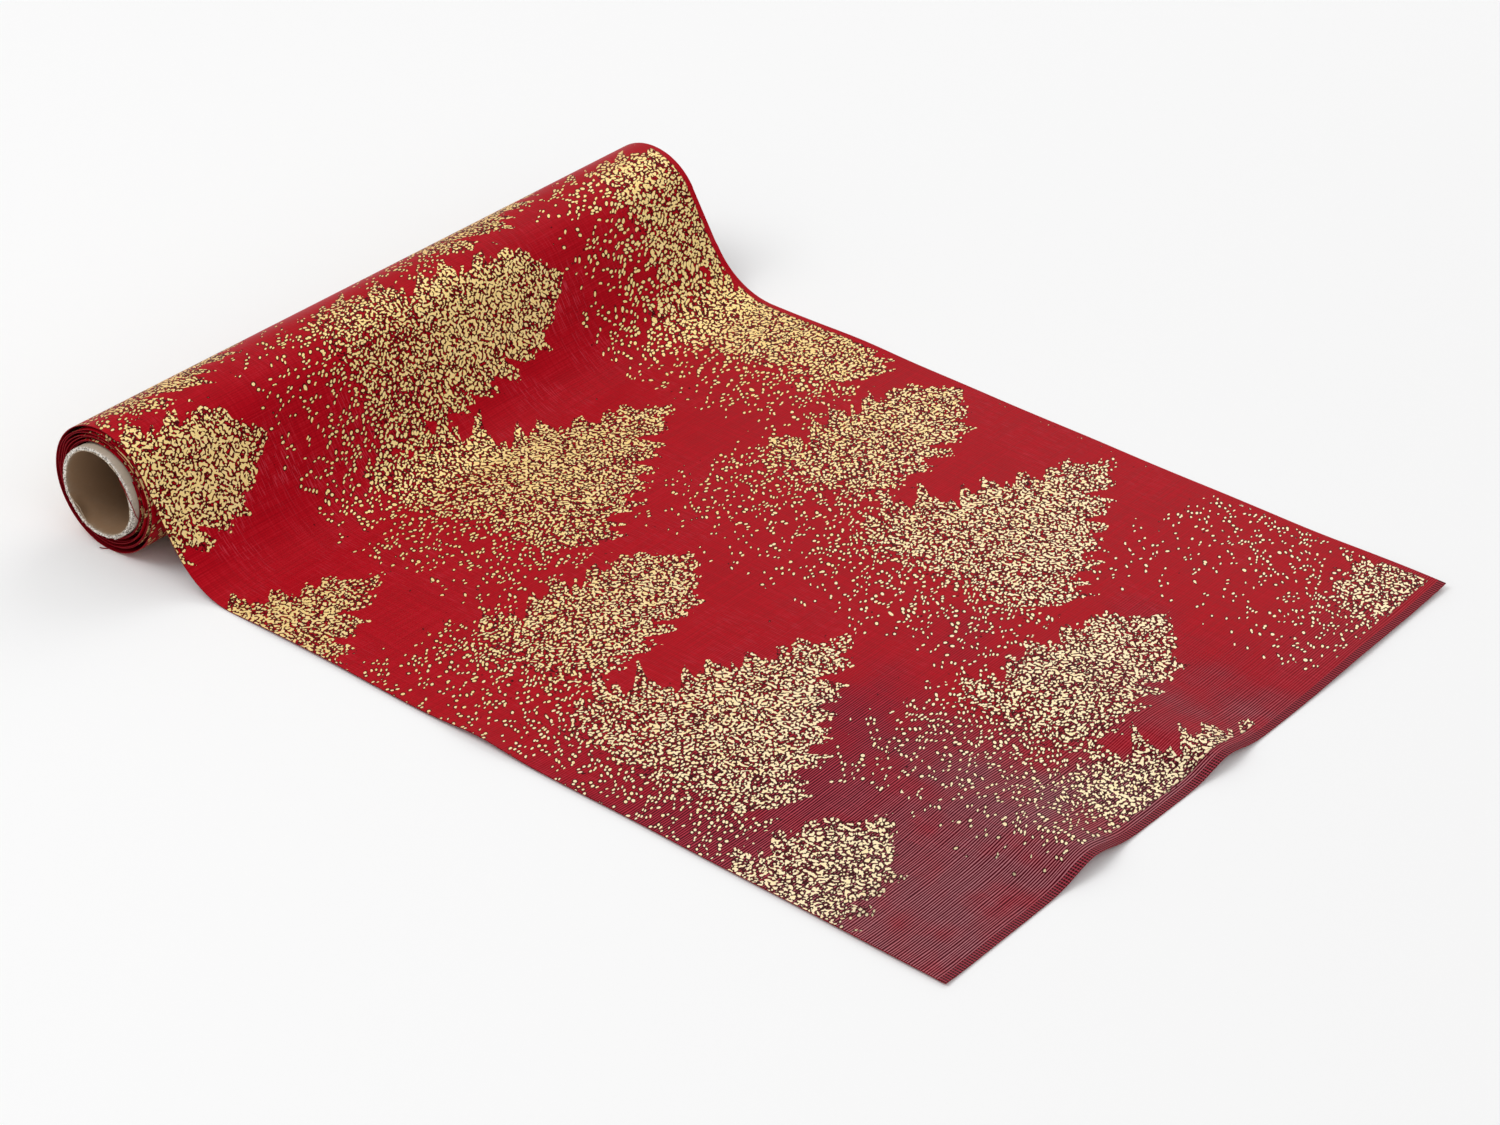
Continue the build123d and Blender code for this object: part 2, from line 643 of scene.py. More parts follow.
class Finish:
    """A material in the making: its name, its graph and its Principled shader.

    Attributes:
        material: The Blender material.
        graph: The graph of its tree.
        shader: Its Principled BSDF node.
    """

    def __init__(self, name: str, **constants: object) -> None:
        """Makes the material and sets constants on the shader's own sockets.

        Args:
            name: The material's name.
            **constants: Socket names, with underscores for spaces, and their values.
        """
        self.material = bpy.data.materials.new(name)
        self.material.use_nodes = True
        self.graph = ShaderGraph(self.material.node_tree)
        self.shader = self.material.node_tree.nodes["Principled BSDF"]
        for label, value in constants.items():
            self.shader.inputs[label.replace("_", " ")].default_value = value

    def feed(self, **terms: object) -> None:
        """Links terms to the shader's sockets, by name with underscores for spaces."""
        for label, term in terms.items():
            self.graph.feed(self.shader.inputs[label.replace("_", " ")], term)

    def bump(self, height: Term, strength: float, depth: float) -> Term:
        """A normal from a height.

        Args:
            height: The height, from 0 to 1.
            strength: How much of it shows.
            depth: The real height of 1, in metres.

        Returns:
            The normal.
        """
        node = self.graph.add("ShaderNodeBump")
        node.inputs["Strength"].default_value = strength
        node.inputs["Distance"].default_value = depth
        self.graph.feed(node.inputs["Height"], height)
        return Term(self.graph, node.outputs["Normal"])

    def cloth_place(self) -> tuple[Term, Term]:
        """The place on the cloth that is being shaded.

        Returns:
            Distance from the leading edge and down from the far edge, in mm of cloth.
        """
        node = self.graph.add("ShaderNodeAttribute", attribute_name=CLOTH_PLACE)
        along, down, _ = self.graph.split(Term(self.graph, node.outputs["Vector"]))
        return along * TO_MM, down * TO_MM

    def object_place(self) -> Term:
        """Object coordinates, in metres."""
        node = self.graph.add("ShaderNodeTexCoord")
        return Term(self.graph, node.outputs["Object"])


@dataclass(frozen=True)
class ClothColoursAndShade:
    """The colours of the cloth and its foil, with its painted shade and painted highlights.

    Attributes:
        red: The ground colour.
        painted_sheen_shade: Painted shade: the darker, bluer red where the satin's sheen is painted
            darker, near the leading edge.
        thread: Painted highlight: the bright red of lit rib crests, threads and streaks.
        gap: Painted shade: the dark red between crowded specks and in the ribs' troughs; also the dark
            band along the leading edge.
        pale_rib_highlight: Painted highlight: the palest rib crests, in the near corner.
        gold: The foil near the roll.
        pale_gold: The foil near the leading edge, painted paler as a painted reflection.
        reverse: The unprinted back, its red painted darker as painted shade, since it shows mostly
            between the turns.
    """

    red: Colour = (0.42, 0.002, 0.009, 1.0)
    painted_sheen_shade: Colour = (0.16, 0.003, 0.022, 1.0)
    thread: Colour = (0.62, 0.065, 0.10, 1.0)
    gap: Colour = (0.022, 0.0006, 0.0016, 1.0)
    pale_rib_highlight: Colour = (0.70, 0.36, 0.38, 1.0)
    gold: Colour = (1.0, 0.76, 0.31, 1.0)
    pale_gold: Colour = (0.99, 0.84, 0.54, 1.0)
    reverse: Colour = (0.25, 0.003, 0.010, 1.0)

    def printed(self) -> bpy.types.Material:
        """The printed face: ribbed red satin with gold foil specks, with painted shade and painted
        highlights on its ribs and satin.

        Returns:
            The material of the face.
        """
        finish = Finish(
            "printed_face", Specular_IOR_Level=0.08, Specular_Tint=(1.0, 0.10, 0.13, 1.0),
        )
        graph = finish.graph
        along, down = finish.cloth_place()
        weave = graph.use(Effects.WEAVE.tree(), Along=along, Down=down)
        density = graph.use(Effects.FIRS.tree(), Along=along, Down=down)["Density"]
        corner = along.step(50.0, 15.0) * down.step(205.0, 245.0)
        margin = along.step(4.5, 6.5) * down.step(1.8, 3.2) * (1.0 - corner)
        girth = along.step(170.0, 300.0) * down.step(110.0, 20.0) * 0.3 + 1.0
        specks = graph.use(
            Effects.SPECKS.tree(), Along=along, Down=down, Density=density * margin, Girth=girth,
        )
        mask = specks["Mask"] * margin
        cloud = graph.noise(graph.point(along * 0.022, down * 0.022, 6.0), 1.0, 2.0)
        # Painted shade: the satin's sheen is painted darker and bluer over a patchy field towards the
        # near leading corner, and faintly in a strip along the leading edge.
        reach = down + (cloud - 0.5) * 220.0 - along * 0.85
        sheen_patchiness = graph.noise(graph.point(along * 0.05, down * 0.05, 3.0), 1.0, 3.0)
        painted_sheen_shade = reach.step(20.0, 170.0) * along.step(200.0, 60.0) * (sheen_patchiness.step(0.3, 0.6) * 0.4 + 0.6)
        painted_sheen_shade = painted_sheen_shade.most(along.step(40.0, 8.0) * 0.25)
        # Painted shade in the ribs' troughs and painted highlight on their crests, strongest where the
        # sheen shade is painted.
        ribbed = (painted_sheen_shade * 1.3).least(1.0)
        streak = weave["Slub"].step(0.42, 0.66)
        shade = (weave["Rib"] - 0.5) * (ribbed * 1.3 + 0.10) + (streak - 0.5) * 0.18
        patch = graph.noise(graph.point(along * 0.03, down * 0.03, 2.0), 1.0, 1.0).step(0.42, 0.6)
        # Painted highlight: bright short streaks along the drape.
        dashes = graph.noise(graph.point(along * 0.16, down * 2.1, 8.0), 1.0, 1.0).step(0.56, 0.66)
        drape = (along.step(280.0, 315.0) * along.step(350.0, 330.0)).most(patch * 0.35)
        ground = graph.colour_mix(painted_sheen_shade * 0.9, self.red, self.painted_sheen_shade)
        ground = graph.colour_mix((shade * -1.0).most(0.0) * 1.7, ground, self.gap)
        rib_light = graph.colour_mix(painted_sheen_shade * along.step(110.0, 20.0), self.thread, self.pale_rib_highlight)
        ground = graph.colour_mix(shade.most(0.0) * 0.8, ground, rib_light)
        ground = graph.colour_mix(dashes * drape * patch * 0.45, ground, self.thread)
        # Painted shadow round the foil specks.
        shadowed = graph.colour_mix(specks["Shadow"] * 0.95, ground, self.gap)
        # The foil is painted paler towards the leading edge as a painted reflection, with a random tint
        # for each speck.
        foil = graph.colour_mix(
            (along.step(60.0, 300.0) + (specks["Tint"] - 0.5) * 0.5), self.pale_gold, self.gold,
        )
        # A dark band along the leading edge, with painted highlights on its short ribs.
        band = along.step(3.1, 2.7)
        rung = (((down + cloud * 0.8) * math.tau / 1.15).sine()).step(0.1, 0.9) * band
        edged = graph.colour_mix(band * 0.75, shadowed, self.gap)
        edged = graph.colour_mix(rung * 0.55, edged, self.thread)
        finish.feed(
            Base_Color=graph.colour_mix(mask, edged, foil),
            Metallic=mask * 0.35,
            Roughness=graph.value_mix(mask, 0.50 + (streak - 0.5) * 0.12, 0.42),
            Normal=finish.bump(
                weave["Rib"] * 0.5 + weave["Thread"] * 0.3 + mask * 0.6, 0.5, 0.06 * MM,
            ),
        )
        return finish.material

    def plain(self) -> bpy.types.Material:
        """The unprinted back: the same ribs, duller.

        Returns:
            The material of the back.
        """
        finish = Finish(
            "cloth_back", Specular_IOR_Level=0.1, Specular_Tint=(1.0, 0.15, 0.18, 1.0),
        )
        graph = finish.graph
        along, down = finish.cloth_place()
        weave = graph.use(Effects.WEAVE.tree(), Along=along, Down=down)
        # Painted shade on the ribs, with darker red along the slubs.
        shade = (weave["Rib"] - 0.5) * 0.3 + (weave["Slub"] - 0.5) * 0.5
        finish.feed(
            Base_Color=graph.colour_mix(shade + 0.4, self.reverse, (0.16, 0.002, 0.006, 1.0)),
            Roughness=weave["Slub"] * 0.15 + 0.52,
            Normal=finish.bump(weave["Rib"] * 0.6 + weave["Thread"] * 0.4, 0.5, 0.06 * MM),
        )
        return finish.material


def tape_film() -> bpy.types.Material:
    """Clear double-sided tape: a glossy film, cloudy where its glue is uneven.

    Returns:
        The material of the tape.
    """
    finish = Finish("tape_film", IOR=1.47, Transmission_Weight=0.5)
    graph = finish.graph
    cloudy = graph.noise(finish.object_place(), 90.0, 2.0)
    finish.feed(
        Base_Color=graph.colour_mix(cloudy, (0.85, 0.84, 0.78, 1.0), (0.70, 0.66, 0.56, 1.0)),
        Roughness=cloudy * 0.3 + 0.2,
        Normal=finish.bump(cloudy, 0.2, 0.03 * MM),
    )
    return finish.material


# ---------------------------------------------------------------- meshes


def new_piece(name: str, bm: bmesh.types.BMesh, *materials: bpy.types.Material) -> bpy.types.Object:
    """Turns a finished bmesh into an object at the origin.

    Args:
        name: The piece's name.
        bm: Its shape, which is freed.
        *materials: Its material slots in order.

    Returns:
        The new object, shaded smooth.
    """
    mesh = bpy.data.meshes.new(name)
    for face in bm.faces:
        face.smooth = True
    bm.to_mesh(mesh)
    bm.free()
    for material in materials:
        mesh.materials.append(material)
    piece = bpy.data.objects.new(name, mesh)
    bpy.context.scene.collection.objects.link(piece)
    return piece


Placer = Callable[[float, float], tuple[Vector, Vector]]


def woven_piece(
    name: str, steps: tuple[int, int], place: Placer, thickness: float,
    materials: Sequence[bpy.types.Material],
) -> bpy.types.Object:
    """A strip of cloth with its printed face, back and edges.

    Args:
        name: The piece's name.
        steps: Number of faces along and across the cloth.
        place: Gives a vertex's place and its place on the cloth, from its shares along and
            across.
        thickness: The cloth's thickness, added behind the printed face.
        materials: The face and the back.

    Returns:
        The strip as one object.
    """
    bm = bmesh.new()
    bmesh.ops.create_grid(bm, x_segments=steps[0], y_segments=steps[1], size=0.5)
    layer = bm.verts.layers.float_vector.new(CLOTH_PLACE)
    for vert in bm.verts:
        vert.co, vert[layer] = place(0.5 - vert.co.x, 0.5 + vert.co.y)
    for edge in bm.edges:
        edge.smooth = not edge.is_boundary
    piece = new_piece(name, bm, *materials)
    wall = piece.modifiers.new("cloth_thickness", "SOLIDIFY")
    wall.thickness = thickness
    wall.offset = -1.0
    wall.material_offset = 1
    wall.material_offset_rim = 1
    return piece


@dataclass(frozen=True)
class Fold:
    """A soft fold that runs in from the leading edge of the cloth.

    Attributes:
        across: Its place on the edge, as a share from the near corner.
        width: Its half width, as a share of the cloth's width.
        height: Its height at the edge.
        reach: How far in it dies away.
    """

    across: float
    width: float
    height: float
    reach: float

    def lift(self, along: float, across: float) -> float:
        """Height of the fold at a place on the cloth.

        Args:
            along: Distance from the leading edge.
            across: Share of the way from the near edge to the far one.

        Returns:
            The height there.
        """
        spread = self.width * (1.0 + along / self.reach)
        fade = math.exp(-((along / self.reach) ** 2))
        return self.height * fade * bell(across, self.across + 0.1 * along, spread)


@dataclass
class DrawnSheet:
    """The cloth from where it leaves the roll down the drape and flat to its leading edge.

    Attributes:
        plan: The roll it comes from.
        near_bend: Bend radius at the near edge, a little tighter than at the far one.
        steps: Faces along and across.
        folds: The soft folds of the leading edge.
    """

    plan: RollPlan
    near_bend: float = 30.0 * MM
    steps: tuple[int, int] = (190, 140)
    folds: tuple[Fold, ...] = (
        Fold(0.265, 0.045, 4.4 * MM, 62.0 * MM),
        Fold(0.520, 0.040, 3.6 * MM, 58.0 * MM),
        Fold(0.80, 0.10, 1.0 * MM, 80.0 * MM),
    )

    def lengths(self, across: float) -> tuple[float, float, float]:
        """Lengths of the cloth's three stretches.

        Args:
            across: Share of the way from the near edge to the far one.

        Returns:
            The lengths lying flat, in the bend and straight down from the roll.
        """
        plan = self.plan
        bend = lerp(self.near_bend, plan.bend_radius, across)
        sine, cosine = math.sin(plan.leave_angle), math.cos(plan.leave_angle)
        straight = (plan.radius * (1.0 + sine) - bend * (1.0 - sine)) / cosine
        foot = plan.axis_x + (plan.radius + bend) * cosine + straight * sine
        face_bend = bend - plan.thickness
        return (plan.leading_x - foot, face_bend * (math.pi / 2.0 - plan.leave_angle), straight)

    @property
    def length(self) -> float:
        """Length of the sheet along its far edge."""
        return sum(self.lengths(1.0))

    def lift(self, along: float, across: float) -> float:
        """How far the flat cloth stands off the table.

        Args:
            along: Distance from the leading edge.
            across: Share of the way from the near edge to the far one.

        Returns:
            The height there.
        """
        plan = self.plan
        raised = sum(fold.lift(along, across) for fold in self.folds)
        near, far = across * plan.width, (1.0 - across) * plan.width
        raised += 0.7 * MM * math.exp(-near / (8.0 * MM))
        raised += 1.4 * MM * math.exp(-near / (10.0 * MM)) * bell(along, 181.0 * MM, 14.0 * MM)
        raised += 0.9 * MM * math.exp(-far / (9.0 * MM)) * bell(along, 245.0 * MM, 20.0 * MM)
        raised += 1.6 * MM * math.exp(-far / (26.0 * MM)) * smoothstep(60.0 * MM, 0.0, along)
        swell = noise.noise(Vector((along * 14.0, across * 4.5, 3.0)))
        return raised + 0.35 * MM * max(0.0, swell + 0.3)

    def place(self, along_share: float, across: float) -> tuple[Vector, Vector]:
        """Where a point of the printed face lies.

        Args:
            along_share: Share of the way from the leading edge to the roll.
            across: Share of the way from the near edge to the far one.

        Returns:
            Its place, and its place on the cloth from the leading edge and the far edge.
        """
        plan = self.plan
        flat, arc, straight = self.lengths(across)
        along = along_share * (flat + arc + straight)
        foot_x = plan.leading_x - flat
        bend = lerp(self.near_bend, plan.bend_radius, across)
        if along <= flat:
            bow = 1.9 * MM * bell(across, 0.70, 0.30) * smoothstep(90.0 * MM, 0.0, along)
            x, z = plan.leading_x - along + bow, plan.thickness
        elif along <= flat + arc:
            turn = (along - flat) / (bend - plan.thickness)
            x = foot_x - (bend - plan.thickness) * math.sin(turn)
            z = bend - (bend - plan.thickness) * math.cos(turn)
        else:
            up = flat + arc + straight - along
            x = plan.axis_x + plan.radius * math.cos(plan.leave_angle) + up * math.sin(plan.leave_angle)
            z = plan.radius * (1.0 + math.sin(plan.leave_angle)) - up * math.cos(plan.leave_angle)
        z += self.lift(along, across) * smoothstep(flat + 12.0 * MM, flat - 20.0 * MM, along)
        y = lerp(plan.near_y, plan.far_y, across)
        wave = noise.noise(Vector((along * 22.0, 5.0 if across > 0.5 else 9.0, 0.0)))
        y += 0.5 * MM * wave * (2.0 * across - 1.0) ** 8
        along_cloth = along_share * self.length
        return Vector((x, y, z)), Vector((along_cloth, plan.width * (1.0 - across), 0.0))

    def build(self, face: bpy.types.Material, back: bpy.types.Material) -> bpy.types.Object:
        """Makes the sheet, from the standing drape down to its leading edge.

        Args:
            face: The printed face's material.
            back: The back's material.

        Returns:
            The sheet.
        """
        piece = woven_piece("drawn_sheet", self.steps, self.place, self.plan.thickness, (face, back))
        flat = self.lengths(1.0)[0]
        start = Vector((self.plan.leading_x - flat, 0.0, 0.0))
        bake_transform(piece)
        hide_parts("drape", "laid_cloth", "free_end")
        self.length
        return piece


@dataclass
class WoundCloth:
    """The loose turns of cloth on the core, drawn off over the top of the roll.

    Attributes:
        plan: The roll.
        first_along: Distance along the cloth where the turns begin.
        turns: Number of turns.
        lap: Room that each turn needs under the one outside it.
        steps: Faces along and across.
    """

    plan: RollPlan
    first_along: float
    turns: int = 7
    lap: float = 0.36 * MM
    steps: tuple[int, int] = (660, 36)

    def slack(self, angle: float) -> float:
        """How much of the roll's loose room lies just outside a turn.

        Args:
            angle: Angle wound since the cloth left the roll.

        Returns:
            The room's weight, which is shared out over all the turns.
        """
        start = smoothstep(math.tau, math.tau + 0.8, angle)
        end = smoothstep(self.turns * math.tau, self.turns * math.tau - 0.8, angle)
        spot = Vector((1.2 * math.cos(angle), 1.2 * math.sin(angle), 1.9 * angle / math.tau))
        loose = max(0.0, noise.noise(spot) + 0.12)
        paired = 0.5 + 0.5 * math.cos(0.5 * angle + 1.1 * math.sin(angle) + 2.4)
        low_right = bell(math.remainder(angle + self.plan.leave_angle + 0.7, math.tau), 0.0, 0.8)
        return start * end * (0.03 + 1.2 * loose * (1.0 - low_right) + 0.9 * paired ** 2)

    def radius_at(self, angle: float) -> float:
        """Radius of the printed face.

        Args:
            angle: Angle wound since the cloth left the roll.

        Returns:
            The radius there.
        """
        plan = self.plan
        turn = angle / math.tau
        outside = int(turn)
        rest = angle - outside * math.tau
        sunk = self.lap * (smoothstep(0.86, 1.0, turn) if turn <= 1.0 else turn)
        inner = plan.core_radius + plan.thickness + 0.35 * MM
        room = plan.radius - inner - self.lap * self.turns
        slacks = [self.slack(rest + math.tau * i) for i in range(1, self.turns)]
        share = sum(slacks[:outside]) / (sum(slacks) + 0.02)
        return plan.radius - sunk - room * share

    def place(self, along_share: float, across: float) -> tuple[Vector, Vector]:
        """Where a point of the printed face lies, and its place on the cloth.

        Args:
            along_share: Share of the way from the leave line to the cloth's start on the core.
            across: Share of the way from the near edge to the far one.

        Returns:
            Its place, and its place on the cloth from the leading edge and the far edge.
        """
        plan = self.plan
        angle = along_share * self.turns * math.tau
        eased = 0.5 - 0.5 * math.cos(math.pi * across)
        share = lerp(across, eased, 0.8)
        edge = (2.0 * share - 1.0) ** 7
        stagger = noise.noise(Vector((angle * 0.35, 4.0 if share > 0.5 else 8.0, 0.0)))
        y = lerp(plan.near_y, plan.far_y, share)
        y += 1.1 * MM * stagger * edge * smoothstep(0.0, 2.0, angle)
        radius = self.radius_at(angle)
        flutter = noise.noise(Vector((angle * 1.6, 2.0, share * 3.0)))
        radius += 0.05 * MM * flutter * abs(edge) * smoothstep(0.0, 1.0, angle)
        point = plan.round_point(radius, plan.leave_angle + angle, y)
        mean = 0.5 * (plan.radius + radius)
        along = self.first_along + angle * mean
        return point, Vector((along, plan.width * (1.0 - share), 0.0))

    def length(self) -> float:
        """Length of the wound cloth."""
        turn = math.tau / 24.0
        return sum(self.radius_at(i * turn) * turn for i in range(24 * self.turns))

    def build(self, face: bpy.types.Material, back: bpy.types.Material) -> bpy.types.Object:
        """Makes the turns and lets them turn with the core.

        Args:
            face: The printed face's material.
            back: The back's material.

        Returns:
            The wound cloth.
        """
        piece = woven_piece("wound_turns", self.steps, self.place, self.plan.thickness, (face, back))
        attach(piece, "winding")
        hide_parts("wound_cloth")
        self.length()
        return piece


# ---------------------------------------------------------------- the core and its threads


@dataclass(frozen=True)
class PaperStock:
    """A paper of the core.

    Attributes:
        name: The material's name.
        colour: The paper's own colour.
        fibre: The colour of its fibres and of its torn rim.
        roughness: How dull it is.
        fleck: How strongly the fibres show.
    """

    name: str
    colour: Colour
    fibre: Colour
    roughness: float = 0.85
    fleck: float = 0.3

    def material(self) -> bpy.types.Material:
        """Makes the paper, paler where a rim is torn.

        Returns:
            The material of the paper.
        """
        finish = Finish(self.name, Specular_IOR_Level=0.25)
        graph = finish.graph
        place = finish.object_place()
        x, y, z = graph.split(place)
        grain = graph.noise(graph.point(x * 1400.0, y * 420.0, z * 1400.0), 1.0, 3.0)
        blotch = graph.noise(place, 160.0, 2.0)
        torn = graph.add("ShaderNodeAttribute", attribute_name="torn")
        fuzz = Term(graph, torn.outputs["Fac"])
        share = (grain - 0.5) * self.fleck + (blotch - 0.5) * 0.25 + fuzz * (grain + 0.35)
        # Dark speckle over the torn rim.
        dark_speckle = graph.noise(place, 1500.0, 1.0).step(0.50, 0.42) * fuzz * 0.6
        paper = graph.colour_mix(share, self.colour, self.fibre)
        finish.feed(
            Base_Color=graph.colour_mix(dark_speckle, paper, (0.10, 0.07, 0.05, 1.0)),
            Roughness=self.roughness,
            Normal=finish.bump(grain, 0.35, 0.05 * MM),
        )
        return finish.material


class Stock(Enum):
    """The papers of the core, by the record's material slots."""

    brown_kraft = PaperStock(
        "core_kraft", (0.30, 0.185, 0.105, 1.0), (0.52, 0.43, 0.33, 1.0), 0.7, 0.12)
    grey_board = PaperStock(
        "core_board", (0.42, 0.37, 0.31, 1.0), (0.86, 0.82, 0.76, 1.0), 0.95, 0.6)
    pale_paper = PaperStock(
        "core_wrap_paper", (0.50, 0.42, 0.32, 1.0), (0.80, 0.74, 0.66, 1.0), 0.75, 0.2)


@dataclass(frozen=True)
class Ply:
    """One layer of the core's tube.

    Attributes:
        node: The CAD node it stands for.
        stock: Its paper.
        ragged: How far its near rim wanders.
        torn_back: How far the rim is torn back at the tear.
    """

    node: str
    stock: Stock
    ragged: float
    torn_back: float


@dataclass
class CardboardCore:
    """The core: four glued plies with a ragged near rim, a peeled flap and loose fibres.

    Attributes:
        plan: The roll.
        tear_angle: Where the outer plies are torn back.
        tear_width: Half the width of the tear, as an angle.
        rim_reach: How far in from the near end the rim's raggedness reaches.
        ring_rows: Places of a ply's rings in from the near end, in mm, close together at the rim.
        facets: Faces round a ply.
        sharp: Edges that turn more than this stay sharp.
        flap_from, flap_to: Where round the bore the liner's edge is peeled.
        flap_lift: How far the peeled edge stands off the bore.
        fibre_count: Number of loose fibres.
        tear_fibres: How many of them stand at the tear.
        seed: Seed of the fibres.
        plies: The plies from the inside out.
    """

    plan: RollPlan
    tear_angle: float = math.radians(-38.0)
    tear_width: float = math.radians(34.0)
    rim_reach: float = 7.0 * MM
    ring_rows: tuple[float, ...] = (0.0, 0.3, 0.7, 1.3, 2.2, 3.6, 7.0, 30.0, 120.0)
    facets: int = 300
    sharp: float = math.radians(50.0)
    flap_from: float = 202.0
    flap_to: float = 250.0
    flap_lift: float = 1.7 * MM
    fibre_count: int = 190
    tear_fibres: int = 90
    seed: int = 5
    plies: tuple[Ply, ...] = (
        Ply("core_liner", Stock.brown_kraft, 0.20 * MM, 0.3 * MM),
        Ply("core_inner_ply", Stock.grey_board, 0.35 * MM, 0.5 * MM),
        Ply("core_outer_ply", Stock.grey_board, 0.35 * MM, 1.7 * MM),
        Ply("core_wrap", Stock.pale_paper, 0.25 * MM, 2.6 * MM),
    )

    def torn_to(self, ply: Ply, angle: float) -> float:
        """How far in from the core's near end a ply's rim lies.

        Args:
            ply: The ply.
            angle: Angle round the core.

        Returns:
            The distance in.
        """
        around = Vector((math.cos(angle), math.sin(angle), 0.0))
        seed = Vector((0.0, 0.0, 7.0 * len(ply.node) + ply.torn_back * TO_MM))
        rough = noise.noise(around * 5.0 + seed) + 0.6 * noise.noise(around * 19.0 + seed)
        rough += 0.45 * noise.noise(around * 60.0 + seed)
        gone = bell(math.remainder(angle - self.tear_angle, math.tau), 0.0, self.tear_width)
        crumbs = 1.0 + 0.5 * noise.noise(around * 26.0 + seed)
        return max(0.0, ply.ragged * (0.7 + rough) + ply.torn_back * gone ** 2 * crumbs)

    def tube(self, ply: Ply, inner: float, outer: float) -> bpy.types.Object:
        """One ply as a closed tube.

        Args:
            ply: The ply.
            inner: Its inside radius.
            outer: Its outside radius.

        Returns:
            The ply's piece.
        """
        plan = self.plan
        bm = bmesh.new()
        places = [plan.core_near_y + row * MM for row in self.ring_rows] + [plan.core_far_y]
        section = [(inner, y) for y in places] + [(outer, y) for y in reversed(places)]
        verts = [bm.verts.new(plan.round_point(radius, 0.0, y)) for radius, y in section]
        edges = [bm.edges.new(pair) for pair in zip(verts, verts[1:] + verts[:1])]
        axis_point = plan.round_point(0.0, 0.0, 0.0)
        bmesh.ops.spin(
            bm, geom=[*verts, *edges], cent=axis_point, axis=(0.0, 1.0, 0.0), angle=math.tau,
            steps=self.facets, use_merge=True,
        )
        settle_order(bm)
        bmesh.ops.recalc_face_normals(bm, faces=bm.faces)
        for edge in bm.edges:
            edge.smooth = edge.calc_face_angle(0.0) < self.sharp
        layer = bm.verts.layers.float.new("torn")
        for vert in bm.verts:
            offset = vert.co - axis_point
            depth = vert.co.y - plan.core_near_y
            if depth >= self.rim_reach:
                continue
            angle = math.atan2(offset.z, offset.x)
            back = self.torn_to(ply, angle)
            vert.co.y += back * (1.0 - depth / self.rim_reach)
            vert[layer] = math.exp(-depth / (0.35 * MM)) + 0.5 * min(1.0, back / MM) * (depth < 2 * MM)
        piece = new_piece(ply.node.replace("core_", "core_paper_"), bm, ply.stock.value.material())
        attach(piece, "winding")
        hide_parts(ply.node)
        return piece

    def flap(self) -> bpy.types.Object:
        """The liner's peeled edge at the lower left of the bore.

        Returns:
            The flap.
        """
        plan = self.plan
        bm = bmesh.new()
        bmesh.ops.create_grid(bm, x_segments=40, y_segments=10, size=0.5)
        layer = bm.verts.layers.float.new("torn")
        for vert in bm.verts:
            around, inward = vert.co.x + 0.5, vert.co.y + 0.5
            vert[layer] = 0.5 * (inward < 0.01)
            angle = math.radians(lerp(self.flap_from, self.flap_to, around))
            lift = self.flap_lift * math.sin(math.pi * around) ** 2 * (1.0 - inward) ** 2
            ragged = 0.25 * MM * noise.noise(Vector((around * 9.0, 2.0, 0.0))) * (1.0 - inward)
            y = plan.core_near_y + (0.1 + 4.5 * inward) * MM + ragged
            vert.co = plan.round_point(plan.bore_radius - 0.012 * MM - lift, angle, y)
        for edge in bm.edges:
            edge.smooth = not edge.is_boundary
        piece = new_piece("liner_flap", bm, bpy.data.materials[Stock.brown_kraft.value.name])
        wall = piece.modifiers.new("paper_thickness", "SOLIDIFY")
        wall.thickness = 0.24 * MM
        wall.offset = -1.0
        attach(piece, "winding")
        return piece

    def fibres(self) -> bpy.types.Object:
        """Loose paper fibres along the near rim, thickest at the tear.

        Returns:
            The fibres as one piece.
        """
        plan = self.plan
        pick = random.Random(self.seed)
        bm = bmesh.new()
        for number in range(self.fibre_count):
            at_tear = number < self.tear_fibres
            spread = self.tear_width * 0.8 if at_tear else math.pi
            angle = self.tear_angle + pick.uniform(-spread, spread)
            radius = plan.core_radius - pick.uniform(0.0, 0.5 if at_tear else 1.4) * MM
            ply = self.plies[3 if radius > plan.core_radius - 0.3 * MM else 1]
            y = plan.core_near_y + self.torn_to(ply, angle) - 0.02 * MM
            if at_tear:
                y -= pick.uniform(-0.2, 0.9) * MM
                radius = plan.core_radius - 0.12 * MM
            length = pick.uniform(0.5, 1.5) * MM
            turn, rise = pick.uniform(-1.0, 1.0), pick.uniform(-0.15, 0.25)
            points = []
            for step in range(5):
                share = step / 4.0
                points.append(plan.round_point(
                    radius + rise * length * share,
                    angle + turn * length * share / radius,
                    y - length * share * (0.75 - 0.5 * abs(turn)) * (1.0 - 0.4 * share),
                ))
            sweep_tube(bm, points, pick.uniform(0.035, 0.06) * MM, 4)
        stock = PaperStock("rim_fibre", (0.74, 0.68, 0.60, 1.0), (0.92, 0.89, 0.84, 1.0), 0.9, 0.5)
        piece = new_piece("rim_fibres", bm, stock.material())
        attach(piece, "winding")
        return piece

    def build(self) -> list[bpy.types.Object]:
        """Makes the plies from the inside out, then the flap and the fibres.

        Returns:
            The pieces in that order.
        """
        pieces = []
        inner = self.plan.bore_radius
        for ply in self.plies:
            low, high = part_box(ply.node)
            outer = (high.z - low.z) / 2.0
            pieces.append(self.tube(ply, inner, outer))
            inner = outer
        return [*pieces, self.flap(), self.fibres()]


